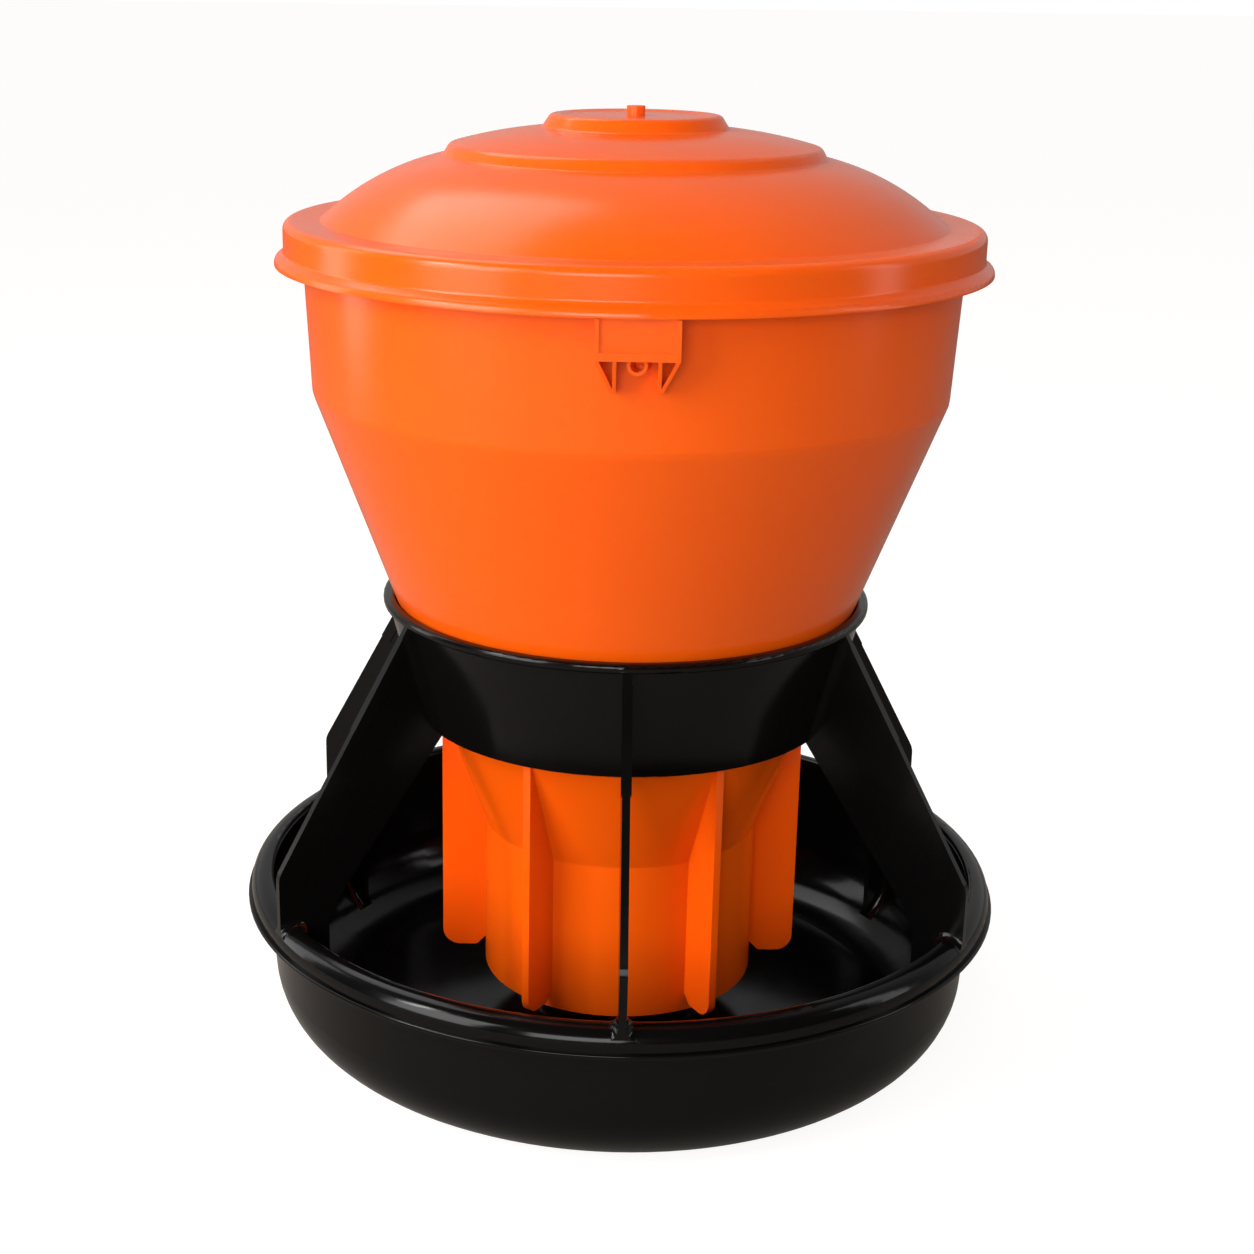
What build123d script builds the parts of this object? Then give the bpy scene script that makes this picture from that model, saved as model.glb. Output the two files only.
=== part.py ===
from build123d import *
import os
from math import atan, cos, radians, sin, tan

# Round gravity feeder for young pigs, in three mouldings that lift apart:
# a lid, a hopper with a drop tube, and a base that joins a round pan, its
# dividers and the collar that carries the hopper.
# Millimetres. +Z is up, the origin is the middle of the pan's underside,
# and the front, with the lug and one divider, faces -Y.

# Shared by all three mouldings
wall = 3.0
seat_gap = 0.3

# Pan: floor, rounded corner, side and rolled rim
pan_rim_radius = 240.0
pan_height = 104.0
pan_side_lean = 4.0
pan_corner_radius = 46.0
rim_overhang = 14.8
rim_crown_share = 0.68
rim_inner_share = 0.26
rim_depth = 16.5
rim_ledge_width = 2.2
rim_ledge_height = 2.8

# Cone in the middle of the pan that sends the feed outwards
spreader_radius = 62.0
spreader_height = 44.0
spreader_tip_radius = 12.0
spreader_round = 9.0

# Collar that holds the hopper: its wall stands off the cone by these gaps
collar_bottom = 209.5
collar_height = 75.5
collar_bottom_gap = 11.4
collar_top_gap = 2.8
collar_lip_width = 3.4
collar_lip_height = 5.5
collar_lip_round = 2.4
collar_lip_under_round = 1.6
collar_edge_round = 0.8
seat_ring_height = 3.0

# Dividers between the feeding places, from the collar to the pan's rim
divider_count = 6
divider_thickness = 4.6
divider_rim_inset = 3.2
divider_shoulder_rise = 33.0
divider_shoulder_round = 14.0
divider_foot_width = 31.5
divider_knee_width = 40.0
divider_knee_rise = 15.0
divider_knee_round = 30.0
divider_pan_fillet = 5.0
parting_band_start = 6.0
parting_band_length = 62.0
parting_band_extra = 0.7
parting_band_depth = 7.0

# Hopper: tube, cone, shoulder and band
tube_radius = 87.0
feed_gap = 29.0
tube_length = 101.0
cone_height = 280.0
shoulder_radius = 191.7
shoulder_round = 14.0
tube_round = 5.0
band_height = 96.9
band_lean = 5.0
hopper_rim_overhang = 5.5
hopper_rim_wall = 2.4
hopper_rim_depth = 9.0
hopper_rim_round = 2.0

# Fins round the drop tube, midway between the dividers
fin_thickness = 4.8
fin_lift = 6.0
fin_pass_gap = 0.6
fin_outer_round = 11.0
fin_inner_round = 6.0

# Lugs under the hopper's rim, front and back
lug_width = 43.8
lug_hood_height = 21.5
lug_stand_out = 12.5
lug_wall = 2.2
lug_band_height = 4.2
lug_band_stand_out = 1.2
lug_frame_width = 2.2
lug_leg_height = 17.6
lug_leg_tip_x = 12.6
lug_leg_rib = 2.0
lug_leg_tip_depth = 5.0
lug_lid_gap = 0.6
eye_radius = 5.3
eye_wall = 1.7
eye_drop = 2.5
eye_inset = 3.6
eye_slant = 12.0

# Lid: skirt with a flanged lip, flat ring, dome, step, crown and top disc
lid_wall = 3.0
lid_skirt_height = 25.0
lid_lip_width = 5.4
lid_lip_height = 3.2
lid_flare_height = 3.6
lid_flare_round = 2.4
lid_side_gap = 1.6
lid_corner_round = 5.0
lid_foot_round = 1.6
lid_crest_round = 4.0
crown_round_share = 0.8
dome_foot_inset = 21.8
dome_foot_angle = 40.0
dome_top_angle = 15.0
dome_rise = 37.4
step_radius = 112.8
step_rise = 6.0
step_run = 3.6
crown_rise = 10.0
crown_foot_angle = 15.0
crown_top_angle = 7.0
disc_foot_radius = 55.0
disc_rise = 7.6
disc_run = 5.0
disc_dish_depth = 0.9
disc_dish_run = 3.6
disc_dish_inset = 9.0
stub_radius = 5.4
stub_height = 5.6

# Heights and radii that follow from the sizes above
pan_floor = wall
pan_side_radius = pan_rim_radius - rim_ledge_width - rim_overhang + wall
rim_crown_radius = rim_crown_share * rim_overhang
rim_inner_round = rim_inner_share * rim_overhang
rim_middle_radius = pan_rim_radius - rim_ledge_width - wall / 2
divider_outer_radius = pan_rim_radius - divider_rim_inset
tube_bottom = pan_floor + feed_gap
cone_bottom = tube_bottom + tube_length
cone_top = cone_bottom + cone_height
hopper_top = cone_top + band_height
band_top_radius = shoulder_radius + band_lean
hopper_rim_radius = band_top_radius + hopper_rim_overhang
lid_skirt_radius = hopper_rim_radius + lid_side_gap + lid_wall
dome_foot_radius = lid_skirt_radius - dome_foot_inset
lid_ring_top = hopper_top + seat_gap + lid_wall
lid_bottom = lid_ring_top - lid_skirt_height
lid_lip_radius = lid_skirt_radius + lid_lip_width
collar_top = collar_bottom + collar_height
collar_lip_bottom = collar_top - collar_lip_height
cone_angle = atan((shoulder_radius - tube_radius) / cone_height)
step = 360 / divider_count


def cone_radius(height):
    """Outer radius of the hopper's cone at a height."""
    return tube_radius + (height - cone_bottom) * tan(cone_angle)


def collar_radius(height):
    """Outer radius of the collar's wall at a height, from the cone inside it."""
    share = (height - collar_bottom) / (collar_lip_bottom - collar_bottom)
    gap = collar_bottom_gap + share * (collar_top_gap - collar_bottom_gap)
    return cone_radius(height) + gap + wall


def pan_radius_at(height):
    """Inner radius of the pan's straight side at a height."""
    lean = pan_side_lean * (pan_height - height) / pan_height
    return pan_side_radius - wall - lean


def section(corners):
    """Closed section in the XZ plane from (radius, height, corner round) triples."""
    points = [(radius, height) for radius, height, _ in corners]
    rounds = [corner_round for _, _, corner_round in corners]
    outline = FilletPolyline(*points, radius=rounds, close=True)
    return Plane.XZ * make_face(outline)


def beside(corners, distance):
    """Corners of the line that runs to the right of another, at a distance."""
    points = [Vector(radius, height) for radius, height, _ in corners]
    ways = [(end - start).normalized() for start, end in zip(points, points[1:])]
    rights = [Vector(way.Y, -way.X) for way in ways]
    line = []
    for index, (point, corner) in enumerate(zip(points, corners)):
        before = rights[max(index - 1, 0)]
        after = rights[min(index, len(rights) - 1)]
        moved = point + (before + after) * (distance / (1 + before.dot(after)))
        outside_of_turn = before.cross(after).Z > 0
        change = distance if outside_of_turn else -distance
        corner_round = max(corner[2] + change, 0) if corner[2] > 0 else 0
        line.append((moved.X, moved.Y, corner_round))
    return line


def moulded_wall(corners, thickness):
    """Turned wall of even thickness, to the right of a line of corners."""
    other_side = beside(corners, thickness)
    return revolve(section(corners + other_side[::-1]), Axis.Z)


def crown(outer, outer_angle, inner, inner_angle):
    """Corner and round of a bulge that leaves outer and inner at these slopes."""
    slope_out = tan(radians(outer_angle))
    slope_in = tan(radians(inner_angle))
    drop = inner[1] - outer[1]
    run = outer[0] - inner[0]
    out_run = (drop - slope_in * run) / (slope_out - slope_in)
    corner = (outer[0] - out_run, outer[1] + out_run * slope_out)
    out_length = out_run / cos(radians(outer_angle))
    in_length = (run - out_run) / cos(radians(inner_angle))
    half_turn = radians(outer_angle - inner_angle) / 2
    shorter = min(out_length, in_length)
    return (corner[0], corner[1], crown_round_share * shorter / tan(half_turn))


def upright_plate(outline, thickness, azimuth):
    """Flat plate in the vertical plane through the axis; azimuth 0 faces -Y."""
    plate = extrude(outline, amount=thickness / 2, both=True)
    return Rot(0, 0, azimuth - 90) * plate


def pan():
    """Floor, spreader cone, rounded corner, side and rolled rim, of one even wall."""
    lip_radius = pan_rim_radius - rim_ledge_width
    shell = moulded_wall(
        [
            (0, pan_floor + spreader_height, 0),
            (spreader_tip_radius, pan_floor + spreader_height, spreader_round),
            (spreader_radius, pan_floor, spreader_round),
            (pan_radius_at(pan_floor), pan_floor, pan_corner_radius - wall),
            (pan_radius_at(pan_height), pan_height, rim_inner_round),
            (lip_radius, pan_height, rim_crown_radius),
            (lip_radius, pan_height - rim_depth, 0),
        ],
        wall,
    )
    ledge_bottom = pan_height - rim_depth
    ledge_round = rim_ledge_height / 3
    ledge = section(
        [
            (lip_radius - wall / 2, ledge_bottom, 0),
            (pan_rim_radius, ledge_bottom, ledge_round),
            (pan_rim_radius, ledge_bottom + rim_ledge_height, ledge_round),
            (lip_radius - wall / 2, ledge_bottom + rim_ledge_height, 0),
        ]
    )
    return shell + revolve(ledge, Axis.Z)


def collar():
    """Tapered ring with a rounded lip, and the inner ring that the cone sits in."""
    bottom_radius = collar_radius(collar_bottom)
    top_radius = collar_radius(collar_lip_bottom)
    lip_radius = top_radius + collar_lip_width
    wall_ring = section(
        [
            (bottom_radius - wall, collar_bottom, 0),
            (bottom_radius, collar_bottom, collar_edge_round),
            (top_radius, collar_lip_bottom, collar_edge_round),
            (lip_radius, collar_lip_bottom, collar_lip_under_round),
            (lip_radius, collar_top, collar_lip_round),
            (top_radius - wall, collar_top, collar_lip_under_round),
        ]
    )
    side_gap = seat_gap / cos(cone_angle)
    ring_top = collar_bottom + seat_ring_height
    seat_ring = section(
        [
            (cone_radius(collar_bottom) + side_gap, collar_bottom, 0),
            (bottom_radius - wall / 2, collar_bottom, 0),
            (bottom_radius - wall / 2, ring_top, 0),
            (cone_radius(ring_top) + side_gap, ring_top, 0),
        ]
    )
    return revolve(wall_ring, Axis.Z) + revolve(seat_ring, Axis.Z)


def above_pan():
    """Side view of the room over the middle of the pan's wall and its rim."""
    half = wall / 2
    crown_bottom = pan_height - rim_crown_radius - half
    return section(
        [
            (0, pan_floor - half, 0),
            (pan_radius_at(pan_floor) + half, pan_floor - half, pan_corner_radius - half),
            (pan_radius_at(pan_height) + half, pan_height - half, 0),
            (rim_middle_radius, pan_height - half, rim_crown_radius - half),
            (rim_middle_radius, crown_bottom, 0),
            (pan_rim_radius, crown_bottom, 0),
            (pan_rim_radius, collar_top, 0),
            (0, collar_top, 0),
        ]
    )


def divider_outline():
    """Side view of a divider: its edges against the collar and the pan run
    along the middle of their walls."""
    half = wall / 2
    under_lip = collar_lip_bottom + half
    lip_radius = collar_radius(collar_lip_bottom) + collar_lip_width
    collar_foot = (collar_radius(collar_bottom) - half, collar_bottom, 0)
    inner_radius = divider_outer_radius - divider_foot_width
    knee_radius = divider_outer_radius - divider_knee_width
    sheet = section(
        [
            (inner_radius, 0, 0),
            (divider_outer_radius, 0, 0),
            (divider_outer_radius, pan_height + divider_shoulder_rise, divider_shoulder_round),
            (lip_radius, under_lip, 0),
            (collar_radius(collar_lip_bottom) - half, under_lip, 0),
            collar_foot,
            (knee_radius, pan_height + divider_knee_rise, divider_knee_round),
            (inner_radius, pan_height, 0),
        ]
    )
    return sheet & above_pan()


def parting_band():
    """Side view of the thicker band along the top of a divider's outer edge."""
    top = Vector(collar_radius(collar_lip_bottom) + collar_lip_width, collar_lip_bottom)
    shoulder = Vector(divider_outer_radius, pan_height + divider_shoulder_rise)
    along = (shoulder - top).normalized()
    across = Vector(-along.Y, along.X)
    start = top + along * parting_band_start
    end = start + along * parting_band_length
    inside = across * -parting_band_depth
    outside = across * parting_band_extra
    corners = [start + inside, end + inside, end + outside, start + outside]
    return section([(corner.X, corner.Y, 0) for corner in corners])


def divider(azimuth):
    """One divider with the thicker band at the top of its outer edge."""
    plate = upright_plate(divider_outline(), divider_thickness, azimuth)
    band_thickness = divider_thickness + 2 * parting_band_extra
    return plate + upright_plate(parting_band(), band_thickness, azimuth)


def beside_divider(edge):
    """Whether an edge runs along a divider's side, not across its thickness."""
    middle = edge @ 0.5
    turns = [radians(number * step) for number in range(divider_count)]
    off_middle = min(abs(middle.X * cos(turn) + middle.Y * sin(turn)) for turn in turns)
    return off_middle > divider_thickness / 4


def feeder_base():
    """Pan, dividers and collar in one moulding, blended where they meet."""
    dish = pan()
    plates = [divider(number * step) for number in range(divider_count)]
    joined = dish + plates
    meeting = [edge for edge in new_edges(dish, *plates, combined=joined) if beside_divider(edge)]
    return fillet(meeting, divider_pan_fillet) + collar()


def hopper_shell():
    """Band, shoulder, cone and drop tube of one wall, with an outward rim."""
    shell = moulded_wall(
        [
            (band_top_radius, hopper_top, 0),
            (shoulder_radius, cone_top, shoulder_round),
            (tube_radius, cone_bottom, tube_round),
            (tube_radius, tube_bottom, 0),
        ],
        wall,
    )
    middle = band_top_radius - wall / 2
    rim_inner = hopper_rim_radius - hopper_rim_wall
    rim = section(
        [
            (middle, hopper_top, 0),
            (hopper_rim_radius, hopper_top, hopper_rim_round),
            (hopper_rim_radius, hopper_top - hopper_rim_depth, 0),
            (rim_inner, hopper_top - hopper_rim_depth, 0),
            (rim_inner, hopper_top - wall, 0),
            (middle, hopper_top - wall, 0),
        ]
    )
    return shell + revolve(rim, Axis.Z)


def fin(azimuth):
    """Upright fin that grows out of the tube and runs out into the cone."""
    half = wall / 2
    fin_radius = cone_radius(collar_bottom) - fin_pass_gap
    fin_bottom = tube_bottom + fin_lift
    run_out = cone_bottom + (fin_radius - tube_radius + half) / tan(cone_angle)
    outline = section(
        [
            (tube_radius - half, fin_bottom + fin_inner_round, 0),
            (tube_radius, fin_bottom + fin_inner_round, 0),
            (tube_radius + fin_inner_round, fin_bottom, fin_inner_round / 2),
            (fin_radius, fin_bottom, fin_outer_round),
            (fin_radius, run_out, 0),
            (tube_radius - half, cone_bottom, 0),
        ]
    )
    return upright_plate(outline, fin_thickness, azimuth)


def lug(azimuth):
    """Framed hood under the rim, with two open V legs and a half-round eye."""
    hood_top = lid_bottom - lug_lid_gap
    hood_bottom = hood_top - lug_hood_height
    root = shoulder_radius - wall / 2
    front = band_top_radius + lug_stand_out
    panel = front - lug_band_stand_out
    inner_width = lug_width - 2 * lug_frame_width
    high = Align.MAX
    low = Align.MIN
    middle = Align.CENTER
    hood = Box(lug_width, front - root, lug_hood_height, align=(middle, low, low))
    recess_height = lug_hood_height - lug_band_height
    recess = Box(inner_width, lug_band_stand_out, recess_height, align=(middle, low, high))
    hollow = Box(inner_width, panel - lug_wall - root, lug_hood_height, align=(middle, low, high))
    hood = Pos(0, -front, hood_bottom) * hood
    recess = Pos(0, -front, hood_top) * recess
    hollow = Pos(0, lug_wall - panel, hood_top - lug_wall) * hollow
    legs = lug_legs(hood_bottom, root, front)
    eye = lug_eye(hood_bottom, root, front)
    return Rot(0, 0, azimuth) * (hood - recess - hollow + legs + eye)


def lug_legs(top, root, front):
    """Pair of V ribs under the hood, shallower towards the tip."""
    tip = top - lug_leg_height
    inside_hood = top + lug_band_height / 2
    inner_x = lug_leg_tip_x - lug_leg_rib
    outer_x = lug_width / 2
    slant = (outer_x - lug_leg_tip_x - lug_leg_rib / 2) / lug_leg_height
    rib_across = lug_leg_rib * (1 + slant**2) ** 0.5
    hole_tip = top - (outer_x - rib_across - lug_leg_tip_x) / slant
    ribs = Part()
    for side in (-1, 1):
        outer = Polyline(
            (side * outer_x, top),
            (side * (lug_leg_tip_x + lug_leg_rib / 2), tip),
            (side * inner_x, tip),
            (side * inner_x, inside_hood),
            (side * outer_x, inside_hood),
            close=True,
        )
        hole = Polyline(
            (side * (outer_x - rib_across), top),
            (side * lug_leg_tip_x, hole_tip),
            (side * lug_leg_tip_x, top),
            close=True,
        )
        ribs += extrude(Plane.XZ * (make_face(outer) - make_face(hole)), amount=front)
    reach = section(
        [
            (root, tip, 0),
            (band_top_radius + lug_leg_tip_depth, tip, 0),
            (front, top, 0),
            (front, inside_hood, 0),
            (root, inside_hood, 0),
        ]
    )
    return ribs & upright_plate(reach, lug_width, 0)


def lug_eye(hood_bottom, root, front):
    """Half-round eye behind the hood's edge, open along the radius."""
    ring = Circle(eye_radius) - Circle(eye_radius - eye_wall)
    start = Pos(0, eye_inset - front, hood_bottom - eye_drop)
    length = front - eye_inset - root
    way = Vector(tan(radians(eye_slant)), 1, 0)
    return extrude(start * (Plane.XZ * ring), amount=length / cos(radians(eye_slant)), dir=way)


def hopper_inside():
    """Room inside the band and the shoulder, where no lug may reach."""
    return revolve(
        section(
            [
                (0, cone_bottom, 0),
                (tube_radius - wall, cone_bottom, 0),
                (shoulder_radius - wall, cone_top, 0),
                (band_top_radius - wall, hopper_top, 0),
                (0, hopper_top, 0),
            ]
        ),
        Axis.Z,
    )


def feed_hopper():
    """Shell, fins and lugs in one moulding."""
    fins = [fin((number + 0.5) * step) for number in range(divider_count)]
    lugs = [lug(azimuth) - hopper_inside() for azimuth in (0, 180)]
    return hopper_shell() + fins + lugs


def feeder_lid():
    """Skirt, ring, dome, crown and dished top disc of one wall, with its stub."""
    flare_top = lid_bottom + lid_lip_height + lid_flare_height
    dome_foot = (dome_foot_radius, lid_ring_top)
    step_foot = (step_radius, lid_ring_top + dome_rise)
    step_top = (step_radius - step_run, step_foot[1] + step_rise)
    disc_foot = (disc_foot_radius, step_top[1] + crown_rise)
    disc_top = (disc_foot_radius - disc_run, disc_foot[1] + disc_rise)
    dish_radius = disc_top[0] - disc_dish_inset
    dish = disc_top[1] - disc_dish_depth
    shell = moulded_wall(
        [
            (0, dish, 0),
            (dish_radius, dish, lid_wall),
            (dish_radius + disc_dish_run, disc_top[1], lid_crest_round),
            (*disc_top, lid_crest_round),
            (*disc_foot, lid_foot_round),
            crown(step_top, crown_foot_angle, disc_foot, crown_top_angle),
            (*step_top, lid_crest_round),
            (*step_foot, lid_foot_round),
            crown(dome_foot, dome_foot_angle, step_foot, dome_top_angle),
            (*dome_foot, lid_foot_round),
            (lid_skirt_radius, lid_ring_top, lid_corner_round),
            (lid_skirt_radius, flare_top, lid_flare_round),
            (lid_lip_radius, flare_top - lid_flare_height, lid_crest_round),
            (lid_lip_radius, lid_bottom, 0),
        ],
        lid_wall,
    )
    stub = Pos(0, 0, dish - lid_wall / 2) * Cylinder(
        stub_radius,
        stub_height + lid_wall / 2,
        align=(Align.CENTER, Align.CENTER, Align.MIN),
    )
    return shell + stub


os.makedirs("parts", exist_ok=True)
export_step(feeder_lid(), "parts/feeder_lid.step")
export_step(feed_hopper(), "parts/feed_hopper.step")
export_step(feeder_base(), "parts/feeder_base.step")
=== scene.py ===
from math import cos, radians, sin

import bpy
from mathutils import Matrix, Vector

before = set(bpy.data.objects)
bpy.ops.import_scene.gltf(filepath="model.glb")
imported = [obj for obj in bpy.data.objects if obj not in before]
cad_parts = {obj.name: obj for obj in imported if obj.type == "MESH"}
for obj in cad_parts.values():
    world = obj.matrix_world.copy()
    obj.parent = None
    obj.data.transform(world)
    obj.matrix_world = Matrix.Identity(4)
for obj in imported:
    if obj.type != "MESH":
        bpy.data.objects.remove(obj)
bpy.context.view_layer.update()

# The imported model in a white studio, seen from a little above its front.
# Metres. +Z is up and the front of the feeder faces -Y.

scene = bpy.context.scene
scene.view_settings.view_transform = "Standard"

# Camera
# The camera stands one degree to the left of the front, so that the front
# divider and the lug show a little to the right of the middle.
CAMERA_AZIMUTH = -1.0
CAMERA_DISTANCE = 1.2338
CAMERA_HEIGHT = 0.6531
CAMERA_YAW = -1.88
CAMERA_PITCH = 17.73
CAMERA_ROLL = 0.75
CAMERA_LENS = 58.9
CAMERA_SHIFT_X = 0.0534


def make_camera():
    round_axis = Matrix.Rotation(radians(CAMERA_AZIMUTH), 4, "Z")
    yaw, pitch, roll = (radians(a) for a in (CAMERA_YAW, CAMERA_PITCH, CAMERA_ROLL))
    ahead = Vector((sin(yaw) * cos(pitch), cos(yaw) * cos(pitch), -sin(pitch)))
    level = Vector((cos(yaw), -sin(yaw), 0.0))
    upright = level.cross(ahead)
    right = level * cos(roll) + upright * sin(roll)
    up = upright * cos(roll) - level * sin(roll)
    data = bpy.data.cameras.new("camera")
    data.sensor_width = 36.0
    data.lens = CAMERA_LENS
    data.shift_x = CAMERA_SHIFT_X
    camera = bpy.data.objects.new("camera", data)
    turn = Matrix((right, up, -ahead)).transposed().to_4x4()
    place = Matrix.Translation((0.0, -CAMERA_DISTANCE, CAMERA_HEIGHT))
    camera.matrix_world = round_axis @ place @ turn
    scene.collection.objects.link(camera)
    scene.camera = camera


def node_kit(tree):
    """Short helpers for building a node tree."""

    def add(kind, **values):
        node = tree.nodes.new(kind)
        for name, value in values.items():
            setattr(node, name, value)
        return node

    def join(source, target):
        tree.links.new(source, target)

    return add, join


# Plastics
def plastic(name, colour, deep, specular, roughness, grain, glow):
    """Glossy moulded plastic: slight mottling, flow waves, fine grain and handling marks."""
    material = bpy.data.materials.new(name)
    material.use_nodes = True
    tree = material.node_tree
    tree.nodes.clear()
    add, join = node_kit(tree)
    output = add("ShaderNodeOutputMaterial")
    shader = add("ShaderNodeBsdfPrincipled")
    join(shader.outputs["BSDF"], output.inputs["Surface"])
    shader.inputs["IOR"].default_value = 1.5
    shader.inputs["Specular IOR Level"].default_value = specular
    if glow:
        shader.inputs["Subsurface Weight"].default_value = glow
        shader.inputs["Subsurface Radius"].default_value = (1.0, 0.16, 0.03)
        shader.inputs["Subsurface Scale"].default_value = 0.012
    place = add("ShaderNodeTexCoord")

    mottle = add("ShaderNodeTexNoise")
    mottle.inputs["Scale"].default_value = 9.0
    mottle.inputs["Detail"].default_value = 5.0
    join(place.outputs["Object"], mottle.inputs["Vector"])
    mix = add("ShaderNodeMix", data_type="RGBA")
    mix.inputs[6].default_value = (*colour, 1.0)
    mix.inputs[7].default_value = (*deep, 1.0)
    join(mottle.outputs["Fac"], mix.inputs[0])
    join(mix.outputs[2], shader.inputs["Base Color"])

    rub = add("ShaderNodeTexNoise")
    rub.inputs["Scale"].default_value = 28.0
    rub.inputs["Detail"].default_value = 8.0
    rub.inputs["Roughness"].default_value = 0.65
    join(place.outputs["Object"], rub.inputs["Vector"])
    spread = add("ShaderNodeMapRange")
    spread.inputs["From Min"].default_value = 0.35
    spread.inputs["From Max"].default_value = 0.75
    spread.inputs["To Min"].default_value = roughness
    spread.inputs["To Max"].default_value = roughness + 0.08
    join(rub.outputs["Fac"], spread.inputs["Value"])
    join(spread.outputs["Result"], shader.inputs["Roughness"])

    waves = add("ShaderNodeTexNoise")
    waves.inputs["Scale"].default_value = 14.0
    waves.inputs["Detail"].default_value = 2.0
    join(place.outputs["Object"], waves.inputs["Vector"])
    slow = add("ShaderNodeBump")
    slow.inputs["Strength"].default_value = 0.06
    slow.inputs["Distance"].default_value = 0.004
    join(waves.outputs["Fac"], slow.inputs["Height"])
    fine = add("ShaderNodeTexNoise")
    fine.inputs["Scale"].default_value = 900.0
    fine.inputs["Detail"].default_value = 3.0
    join(place.outputs["Object"], fine.inputs["Vector"])
    bump = add("ShaderNodeBump")
    bump.inputs["Strength"].default_value = grain
    bump.inputs["Distance"].default_value = 0.0002
    join(fine.outputs["Fac"], bump.inputs["Height"])
    join(slow.outputs["Normal"], bump.inputs["Normal"])
    join(bump.outputs["Normal"], shader.inputs["Normal"])
    return material


orange = plastic("orange_plastic", (0.95, 0.112, 0.0024), (0.92, 0.094, 0.0018), 0.3, 0.2, 0.04, 0.25)
black = plastic("black_plastic", (0.0030, 0.0027, 0.0025), (0.0022, 0.0020, 0.0020), 0.2, 0.12, 0.03, 0.0)

for name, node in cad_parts.items():
    node.data.materials.clear()
    node.data.materials.append(black if name == "feeder_base" else orange)
    for face in node.data.polygons:
        face.material_index = 0


# Studio
FLOOR_SEEN = 0.87
FLOOR_MIRRORED = 0.05
BACKDROP_MIRRORED = 0.5
ROOM_MIRRORED = 0.02
AMBIENT = 0.38


def white_floor():
    """Pale floor that keeps the feeder's shadow and ends in the white background."""
    size = 40.0
    mesh = bpy.data.meshes.new("floor")
    corners = [(-size, -size, 0), (size, -size, 0), (size, size, 0), (-size, size, 0)]
    mesh.from_pydata(corners, [], [(0, 1, 2, 3)])
    floor = bpy.data.objects.new("floor", mesh)
    scene.collection.objects.link(floor)
    material = bpy.data.materials.new("floor")
    material.use_nodes = True
    tree = material.node_tree
    tree.nodes.clear()
    add, join = node_kit(tree)
    output = add("ShaderNodeOutputMaterial")
    matt = add("ShaderNodeBsdfDiffuse")
    matt.inputs["Color"].default_value = (0.30, 0.27, 0.24, 1.0)
    seen = add("ShaderNodeEmission")
    seen.inputs["Color"].default_value = (1.0, 1.0, 1.0, 1.0)
    mirrored = add("ShaderNodeEmission")
    mirrored.inputs["Color"].default_value = (1.0, 0.93, 0.85, 1.0)
    light_path = add("ShaderNodeLightPath")
    direct = add("ShaderNodeMath", operation="MAXIMUM")
    join(light_path.outputs["Is Camera Ray"], direct.inputs[0])
    join(light_path.outputs["Is Transmission Ray"], direct.inputs[1])
    bright = add("ShaderNodeMath", operation="MULTIPLY")
    bright.inputs[1].default_value = FLOOR_SEEN
    join(direct.outputs[0], bright.inputs[0])
    join(bright.outputs[0], seen.inputs["Strength"])
    dim = add("ShaderNodeMath", operation="MULTIPLY")
    dim.inputs[1].default_value = FLOOR_MIRRORED
    join(light_path.outputs["Is Glossy Ray"], dim.inputs[0])
    join(dim.outputs[0], mirrored.inputs["Strength"])
    glows = add("ShaderNodeAddShader")
    join(seen.outputs[0], glows.inputs[0])
    join(mirrored.outputs[0], glows.inputs[1])
    both = add("ShaderNodeAddShader")
    join(matt.outputs[0], both.inputs[0])
    join(glows.outputs[0], both.inputs[1])
    join(both.outputs[0], output.inputs["Surface"])
    mesh.materials.append(material)


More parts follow.
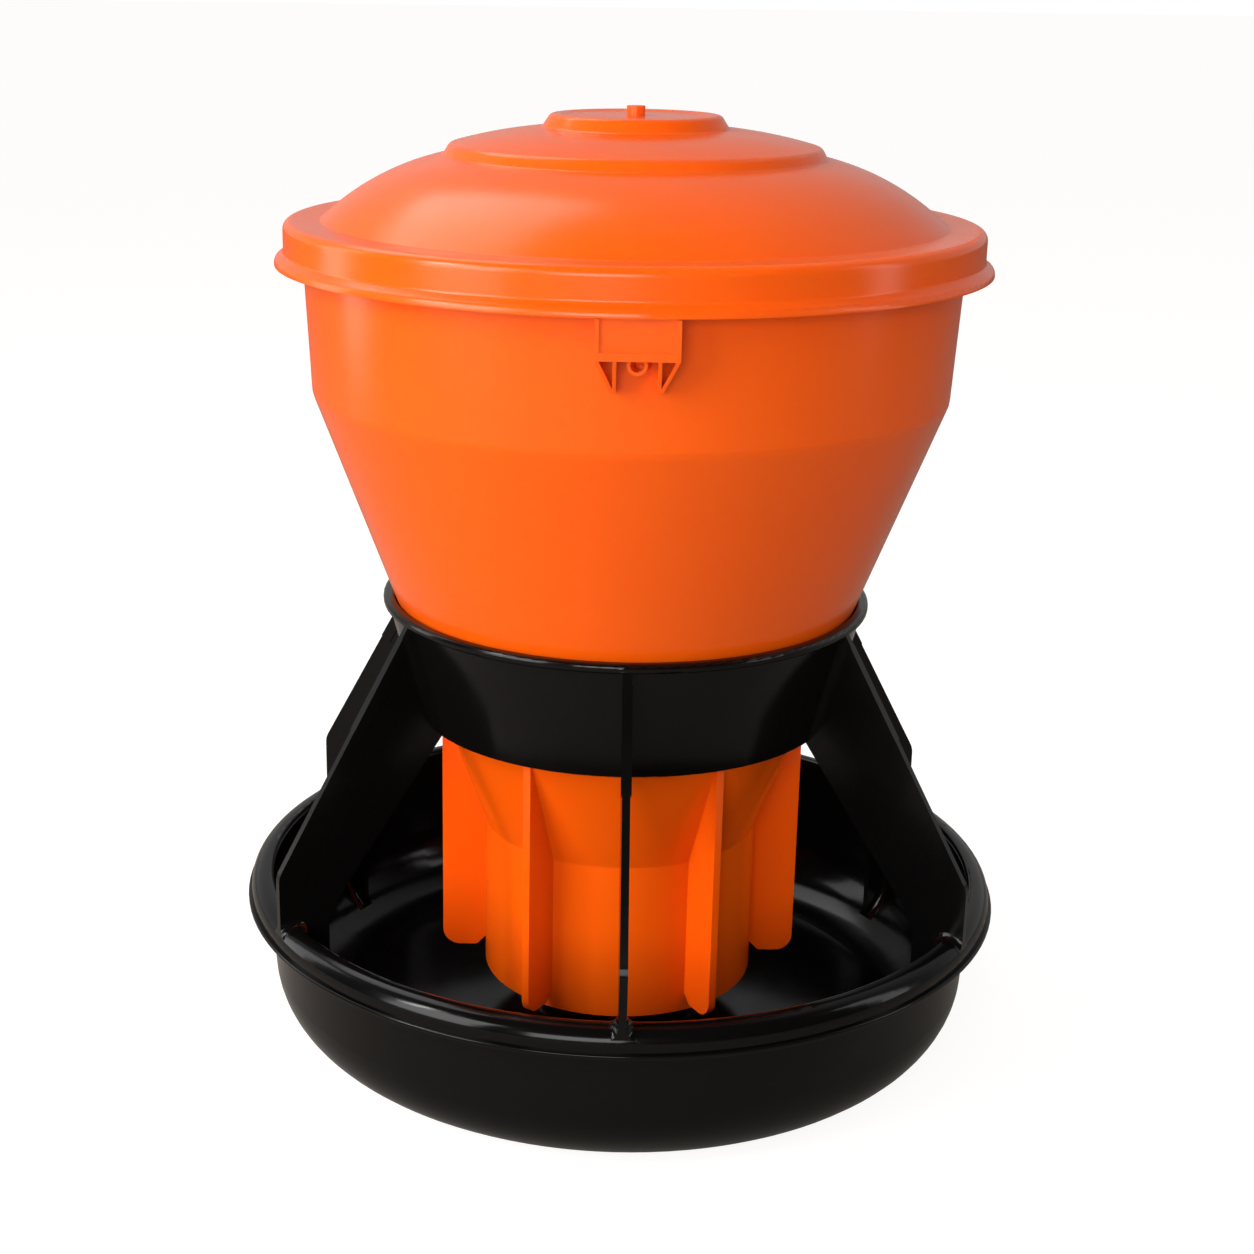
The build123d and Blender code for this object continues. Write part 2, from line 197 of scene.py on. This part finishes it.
def white_world():
    """White where it is seen, pale behind the feeder in reflections, and dim elsewhere."""
    world = bpy.data.worlds.new("studio")
    scene.world = world
    world.use_nodes = True
    tree = world.node_tree
    tree.nodes.clear()
    add, join = node_kit(tree)
    output = add("ShaderNodeOutputWorld")

    def sky(strength):
        background = add("ShaderNodeBackground")
        background.inputs["Color"].default_value = (1.0, 1.0, 1.0, 1.0)
        background.inputs["Strength"].default_value = strength
        return background

    light_path = add("ShaderNodeLightPath")
    place = add("ShaderNodeTexCoord")
    split = add("ShaderNodeSeparateXYZ")
    join(place.outputs["Generated"], split.inputs[0])
    behind = add("ShaderNodeMapRange", interpolation_type="SMOOTHSTEP")
    behind.inputs["From Min"].default_value = -0.1
    behind.inputs["From Max"].default_value = 0.5
    behind.inputs["To Min"].default_value = ROOM_MIRRORED
    behind.inputs["To Max"].default_value = BACKDROP_MIRRORED
    join(split.outputs["Y"], behind.inputs["Value"])
    mirrored = sky(1.0)
    join(behind.outputs["Result"], mirrored.inputs["Strength"])
    glossy = add("ShaderNodeMixShader")
    join(light_path.outputs["Is Glossy Ray"], glossy.inputs[0])
    join(sky(AMBIENT).outputs[0], glossy.inputs[1])
    join(mirrored.outputs[0], glossy.inputs[2])
    direct = add("ShaderNodeMath", operation="MAXIMUM")
    join(light_path.outputs["Is Camera Ray"], direct.inputs[0])
    join(light_path.outputs["Is Transmission Ray"], direct.inputs[1])
    mix = add("ShaderNodeMixShader")
    join(direct.outputs[0], mix.inputs[0])
    join(glossy.outputs[0], mix.inputs[1])
    join(sky(1.0).outputs[0], mix.inputs[2])
    join(mix.outputs[0], output.inputs["Surface"])


def softbox(name, place, target, width, height, power):
    data = bpy.data.lights.new(name, "AREA")
    data.shape = "RECTANGLE"
    data.size = width
    data.size_y = height
    data.energy = power
    lamp = bpy.data.objects.new(name, data)
    lamp.location = place
    aim = Vector(target) - Vector(place)
    lamp.rotation_euler = aim.to_track_quat("-Z", "Y").to_euler()
    scene.collection.objects.link(lamp)
    return lamp


make_camera()
white_floor()
white_world()
softbox("key_left", (-1.7, -1.3, 1.0), (0, 0, 0.3), 1.1, 1.6, 40)
softbox("spark_left", (-1.63, -0.76, 1.5), (0, 0, 0.3), 0.15, 0.6, 9)
softbox("side_left", (-1.9, 0.5, 0.7), (0, 0, 0.3), 0.5, 1.6, 7)
softbox("fill_right", (1.9, -0.3, 0.9), (0, 0, 0.3), 0.4, 1.6, 6)
softbox("front", (-0.5, -2.5, 0.9), (0, 0, 0.2), 1.2, 1.0, 30)
softbox("top", (-0.9, 0.8, 2.1), (0, 0, 0.4), 1.2, 1.2, 12)
